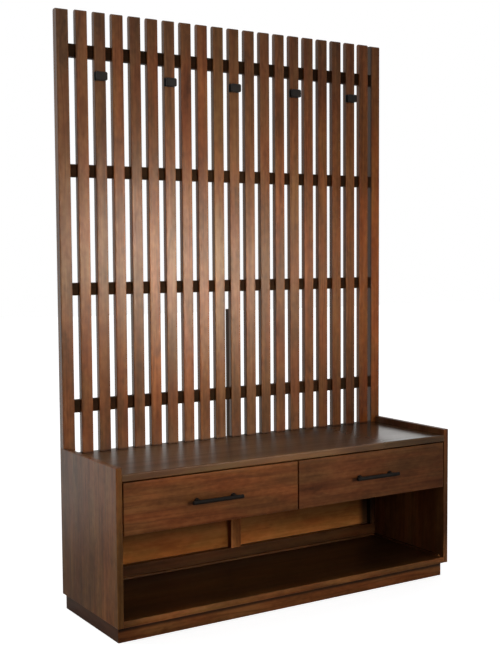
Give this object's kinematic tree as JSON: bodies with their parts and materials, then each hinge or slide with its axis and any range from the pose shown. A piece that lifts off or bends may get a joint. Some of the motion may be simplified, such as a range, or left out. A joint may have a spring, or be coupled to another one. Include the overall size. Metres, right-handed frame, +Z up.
{
  "type": "hall tree with bench",
  "caption": "Brown wood hall tree: slatted back with black coat hooks over a bench with side-by-side drawers and an open shoe cubby",
  "frame": {"origin": "middle of the footprint box, pulls included, on the floor", "axes": "+X to the right of someone facing it, +Y to the back, +Z up; the drawers open towards -Y"},
  "size_m": [1.2, 0.422, 1.796],
  "materials": {
    "brown_wood": "satin brown stain on solid wood",
    "dark_wood": "dark brown stain, matt",
    "plywood": "warm brown thin plywood",
    "box_wood": "clear lacquered drawer sides",
    "black_metal": "matt black",
    "zinc_steel": "zinc plated"
  },
  "bodies": {
    "carcass": {"back_bottom_rail": "dark_wood", "back_panel_left": "plywood", "back_panel_right": "plywood", "bench_top": "brown_wood", "bottom_shelf": "brown_wood", "centre_post": "brown_wood", "coat_hook_1": "black_metal", "coat_hook_2": "black_metal", "coat_hook_3": "black_metal", "coat_hook_4": "black_metal", "coat_hook_5": "black_metal", "drawer_divider": "brown_wood", "fixed_runners": "zinc_steel", "left_post": "brown_wood", "left_side_panel": "brown_wood", "plinth_back": "brown_wood", "plinth_front": "brown_wood", "plinth_left": "brown_wood", "plinth_right": "brown_wood", "post_bolts": "zinc_steel", "rail_low_left": "dark_wood", "rail_low_right": "dark_wood", "rail_lower": "dark_wood", "rail_top": "dark_wood", "rail_upper": "dark_wood", "right_post": "brown_wood", "right_side_panel": "brown_wood", "slat_01": "brown_wood", "slat_02": "brown_wood", "slat_03": "brown_wood", "slat_04": "brown_wood", "slat_05": "brown_wood", "slat_06": "brown_wood", "slat_07": "brown_wood", "slat_08": "brown_wood", "slat_09": "brown_wood", "slat_10": "brown_wood", "slat_11": "brown_wood", "slat_12": "brown_wood", "slat_13": "brown_wood", "slat_14": "brown_wood", "slat_15": "brown_wood", "slat_16": "brown_wood", "slat_17": "brown_wood", "slat_18": "brown_wood", "slat_19": "brown_wood"},
    "left_drawer": {"left_drawer_back": "box_wood", "left_drawer_bottom": "plywood", "left_drawer_front": "brown_wood", "left_drawer_left_side": "box_wood", "left_drawer_pull": "black_metal", "left_drawer_right_side": "box_wood", "left_drawer_runners": "zinc_steel"},
    "right_drawer": {"right_drawer_back": "box_wood", "right_drawer_bottom": "plywood", "right_drawer_front": "brown_wood", "right_drawer_left_side": "box_wood", "right_drawer_pull": "black_metal", "right_drawer_right_side": "box_wood", "right_drawer_runners": "zinc_steel"}
  },
  "joints": [
    {"name": "left_drawer_slide", "type": "slide", "parent": "carcass", "child": "left_drawer", "axis": [0, -1, 0], "range_m": [0, 0.23]},
    {"name": "right_drawer_slide", "type": "slide", "parent": "carcass", "child": "right_drawer", "axis": [0, -1, 0], "range_m": [0, 0.23]}
  ]
}
